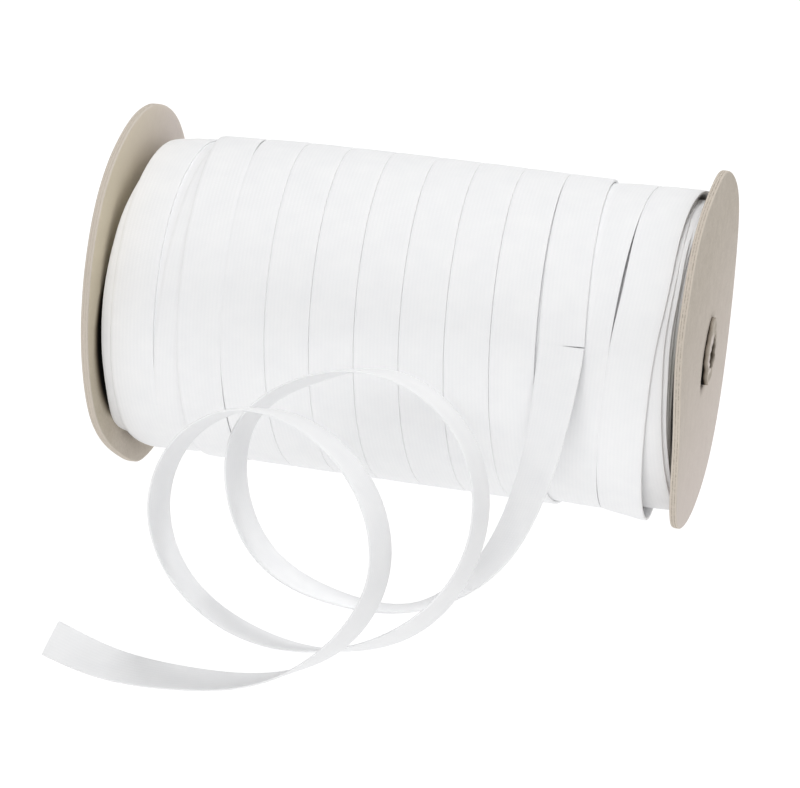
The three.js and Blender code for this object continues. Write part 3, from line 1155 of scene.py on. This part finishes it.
crushed_hollow = [
    (0, 6.0, 1.5),
    (40, 7.6, 0.5),
    (80, 8.2, -1.5),
    (110, 8.0, -3.5),
    (140, 6.5, -5.5),
    (165, 3.8, -6.5),
    (195, 0.5, -6.0),
    (225, -1.5, -3.9),
    (255, -1.8, -2.1),
    (285, -0.9, -0.4),
    (315, 1.2, 0.4),
    (340, 3.2, 1.1),
]
turn = np.linspace(0, 2 * math.pi, TUBE_SIDES, endpoint=False)
# 1 all along the front of the tube, falling to 0 at its top and bottom.
front_side = np.clip(-3 * np.sin(turn), 0, 1)


def tube_ring(x, radius, outline, push):
    circle = radius * np.stack([np.sin(turn), np.cos(turn)], axis=-1)
    place = circle + push * (outline - circle)
    below = np.clip(-np.cos(turn), 0, 1)
    creases = (CREASE_HEIGHT + CREASE_BELOW * below) * np.sin(CREASE_WAVES * turn + 0.6)
    reach = x + push**4 * (MOUTH_PROUD * front_side + creases)
    return np.column_stack([reach, place])


def tube_wall(radius, outline):
    rings = [tube_ring(-TUBE_END / MM, radius, outline, 0)]
    for row in mouth_rows:
        x = MOUTH_START + (MOUTH_END - MOUTH_START) * row["along"]
        rings.append(tube_ring(x, radius, outline, row["push"]))
    return rings


outer_wall = tube_wall(TUBE_RADIUS / MM, smooth_round(crushed_wall, np.degrees(turn)))
inner_wall = tube_wall(
    (TUBE_RADIUS - TUBE_WALL) / MM, smooth_round(crushed_hollow, np.degrees(turn))
)
torn_face = []
for row in torn_rows:
    ring = outer_wall[-1] + row["share"] * (inner_wall[-1] - outer_wall[-1])
    ring[:, 0] -= row["sunk"] + TORN_HEIGHT * np.sin(TORN_WAVES * turn + 9 * row["share"])
    torn_face.append(ring)
walls = np.array(outer_wall + torn_face + inner_wall[::-1]) * MM
walls = walls + np.array([MIDDLE_X, AXLE_Y, AXLE_Z])
mouth_at = len(outer_wall) - 1
hollow_at = len(outer_wall) + len(torn_face)
# Painted shade: the walls are black inside the tube, except at its ends and the torn face, and shade off near
# the mouth.
unlit = np.ones(walls.shape[:2])
unlit[[0, -1]] = 0
unlit[mouth_at : hollow_at + 1] = 0
unlit[mouth_at - len(WALL_SHADE) : mouth_at] = np.array(WALL_SHADE)[:, None]
unlit[hollow_at + 1 : hollow_at + 1 + len(HOLLOW_SHADE)] = np.array(HOLLOW_SHADE)[:, None]
# The torn edge along the front of the mouth is paler.
pale_and_painted_light = np.zeros(walls.shape[:2])
pale_and_painted_light[hollow_at - 1 : hollow_at + 1] = front_side
ends = np.zeros(walls.shape[:2])
ends[[0, -1]] = 1
tube = ring_skin("tube_board", walls, card, {"edge": ends, "painted_shade": unlit, "pale_and_painted_light": pale_and_painted_light})
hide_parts("card_tube")
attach(tube, "root")
print("tube:", len(tube.data.polygons), "faces")

# %% [markdown]
# ## Table and light
#
# The photograph is a product picture on pure white. The strongest soft light comes from above the front, two
# small ones from overhead, and weaker ones from both sides and from behind at the right. The table is so
# bright that it burns out. It is a stage object and not part of the model.

# %% Table
TABLE_SIZE = 6.0
TABLE_GREY = 0.1
TABLE_GLOW = 0.97


def table():
    mesh = bpy.data.meshes.new("table")
    half = TABLE_SIZE / 2
    corners = [(-half, -half, 0), (half, -half, 0), (half, half, 0), (-half, half, 0)]
    mesh.from_pydata(corners, [], [(0, 1, 2, 3)])
    material, tree, shader = new_finish("white_table", 0.9)
    shader.inputs["Base Color"].default_value = grey(TABLE_GREY)
    shader.inputs["Emission Color"].default_value = grey(1)
    shader.inputs["Emission Strength"].default_value = TABLE_GLOW
    return add_piece("table", mesh, material)


table()


# %% Lights
def softbox(name, place, aim, size, power):
    data = bpy.data.lights.new(name, "AREA")
    data.shape = "DISK"
    data.size = size
    data.energy = power
    lamp = bpy.data.objects.new(name, data)
    facing = (Vector(aim) - Vector(place)).to_track_quat("-Z", "Y")
    lamp.matrix_world = Matrix.Translation(place) @ facing.to_matrix().to_4x4()
    bpy.context.scene.collection.objects.link(lamp)
    return lamp


MIDDLE = (0, 0, 0.04)
LAMPS = {
    # name: (place, size, power)
    "front": ((0.0, -1.0, 1.2), 0.9, 8.2),
    "front_left": ((-0.6, -1.2, 1.2), 0.5, 3.1),
    "front_right": ((1.1, -0.9, 0.8), 0.9, 1.9),
    "back_right": ((0.9, 1.0, 0.8), 0.9, 3.7),
    "overhead": ((0.05, 0.6, 1.2), 0.3, 4.3),
    "overhead_right": ((0.4, 0.6, 1.2), 0.3, 1.9),
}
for name, (place, size, power) in LAMPS.items():
    softbox(name, place, MIDDLE, size, power)

# %% Room
ROOM_WHITE = 0.95
CEILING_GREY = 0.3
WALL_TOP = 0.05
CEILING_START = 0.22


def studio_room():
    """A room with white walls and a darker ceiling: its brightness falls with height."""
    world = bpy.data.worlds.new("studio")
    world.use_nodes = True
    tree = Tree(world.node_tree)
    way = tree.add("ShaderNodeTexCoord", output="Generated")
    height = tree.add("ShaderNodeSeparateXYZ", inputs={0: way}, output="Z")
    wall = tree.add(
        "ShaderNodeMapRange",
        {"interpolation_type": "SMOOTHSTEP"},
        {"Value": height, 1: WALL_TOP, 2: CEILING_START, 3: ROOM_WHITE, 4: CEILING_GREY},
    )
    tree.feed(world.node_tree.nodes["Background"].inputs["Color"], wall)
    return world


bpy.context.scene.world = studio_room()
bpy.context.scene.view_settings.view_transform = "Standard"

# %% [markdown]
#
# The scene ends by bringing the view layer up to date.

# %% Bring the view layer up to date
bpy.context.view_layer.update()
